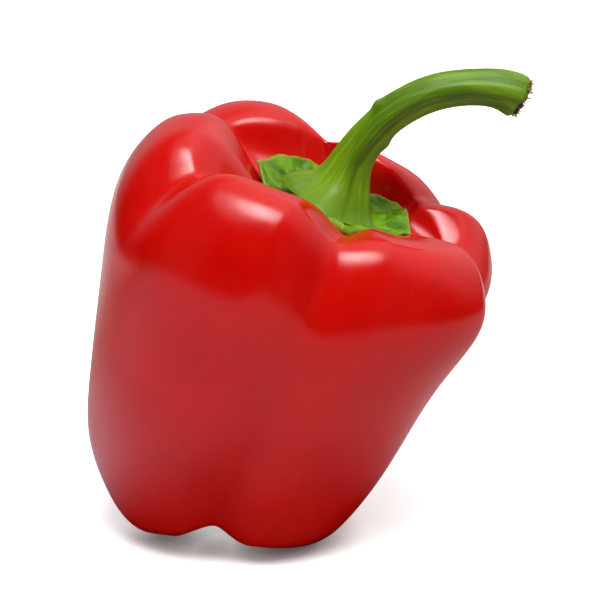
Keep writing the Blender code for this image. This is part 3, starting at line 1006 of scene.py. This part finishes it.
path = add_node(tree, "ShaderNodeLightPath").outputs
lit = mix_colours(tree, path["Is Glossy Ray"], BOUNCED_GREY, BLACK)
lit = mix_colours(tree, path["Is Camera Ray"], lit, SEEN_GREY)
tree.links.new(lit, paper_shader.inputs["Base Color"])
# Painted shade on the glow a camera ray sees, set by how open the paper is above it.
open_above = add_node(tree, "ShaderNodeAmbientOcclusion", {"Distance": SHADE_REACH}).outputs["AO"]
shade = mix_colours(tree, between(tree, open_above, 0.0, SHADE_ENDS), PAINTED_SHADE_CLOSED_IN, IN_THE_OPEN)
shine = mix_colours(tree, path["Is Glossy Ray"], BLACK, mirrored)
shine = mix_colours(tree, path["Is Camera Ray"], shine, shade)
tree.links.new(shine, paper_shader.inputs["Emission Color"])
paper_shader.inputs["Emission Strength"].default_value = 1.0
paper_shader.inputs["Roughness"].default_value = 0.9
paper_shader.inputs["Specular IOR Level"].default_value = 0.0
print("paper nodes:", len(tree.nodes))

# %% Soft light from above
world = bpy.data.worlds.new("studio")
bpy.context.scene.world = world
world.use_nodes = True
tree = world.node_tree
background = tree.nodes["Background"]
direction = add_node(tree, "ShaderNodeTexCoord").outputs["Generated"]


def glow(aim_deg, tilt_deg, inner_deg, outer_deg, strength):
    """Light from round one direction: its azimuth, counted from the viewer to the right, and its
    elevation, then the angles from its middle where it starts to fade and where it ends."""
    a, e = math.radians(aim_deg), math.radians(tilt_deg)
    aim = (math.sin(a) * math.cos(e), -math.cos(a) * math.cos(e), math.sin(e))
    near = add_node(
        tree, "ShaderNodeVectorMath", {0: direction, 1: aim}, operation="DOT_PRODUCT"
    ).outputs["Value"]
    edges = [math.cos(math.radians(angle)) for angle in (outer_deg, inner_deg)]
    return between(tree, near, *edges, 0.0, strength)


# Two bright soft boxes and a dimmer one stand above the front. Wide dim ones fill the rest.
GLOWS = (
    (20.0, 62.0, 5.0, 18.0, 11.0),
    (-5.0, 64.0, 4.0, 17.0, 10.0),
    (-28.0, 62.0, 4.0, 22.0, 2.6),
    (30.0, 80.0, 18.0, 42.0, 0.8),
    (110.0, 42.0, 10.0, 55.0, 1.0),
    (180.0, 60.0, 20.0, 75.0, 0.2),
    (180.0, 15.0, 20.0, 60.0, 0.3),
)
light = glow(*GLOWS[0])
for settings in GLOWS[1:]:
    light = maths(tree, "ADD", light, glow(*settings))
seen = add_node(tree, "ShaderNodeLightPath").outputs["Is Camera Ray"]
tree.links.new(mix_colours(tree, seen, light, WHITE), background.inputs["Color"])
print("glows:", len(GLOWS))

# %% Reflectors at the sides
# Two broad reflectors fill the sides: one low on the right, one higher on the left. They would
# show as squares in the wax, so they're left out of reflections.
REFLECTORS = ((50.0, 14.0, 1.2), (-65.0, 20.0, 1.5))  # azimuth, elevation and watts
REFLECTOR_DISTANCE, REFLECTOR_SIZE, REFLECTOR_RAISED = 0.8, 0.6, 0.05

for azimuth_deg, elevation_deg, watts in REFLECTORS:
    panel = bpy.data.lights.new("reflector", "AREA")
    panel.size = REFLECTOR_SIZE
    panel.energy = watts
    reflector = bpy.data.objects.new("reflector", panel)
    a, e = math.radians(azimuth_deg), math.radians(elevation_deg)
    towards = Vector((math.sin(a) * math.cos(e), -math.cos(a) * math.cos(e), math.sin(e)))
    reflector.location = towards * REFLECTOR_DISTANCE + Vector((0.0, 0.0, REFLECTOR_RAISED))
    reflector.rotation_euler = towards.to_track_quat("Z", "Y").to_euler()
    reflector.visible_glossy = False
    bpy.context.scene.collection.objects.link(reflector)
print("reflectors:", len(REFLECTORS))

# %% The camera
VIEW_DISTANCE, VIEW_DOWN_DEG = 0.55, 15.0
LENS_MM = 150.15
FRAME_RIGHT_MM, FRAME_UP_MM = 6.81, 7.25  # how far the frame's middle is from the fruit's

down = math.radians(VIEW_DOWN_DEG)
forward = Vector((0.0, math.cos(down), -math.sin(down)))
upward = Vector((0.0, math.sin(down), math.cos(down)))
aim = Vector(stand(np.array(FRUIT_MIDDLE_MM)))
aim += Vector((FRAME_RIGHT_MM * MM, 0.0, 0.0)) + upward * (FRAME_UP_MM * MM)
camera_data = bpy.data.cameras.new("camera")
camera_data.lens = LENS_MM
camera_data.sensor_width = 36.0
camera_data.clip_start = 0.01
camera = bpy.data.objects.new("camera", camera_data)
camera.location = aim - forward * VIEW_DISTANCE
camera.rotation_euler = (math.radians(90.0 - VIEW_DOWN_DEG), 0.0, 0.0)
bpy.context.scene.collection.objects.link(camera)
bpy.context.scene.camera = camera
bpy.context.scene.view_settings.view_transform = "Standard"
print("camera at, m:", [round(c, 3) for c in camera.location])
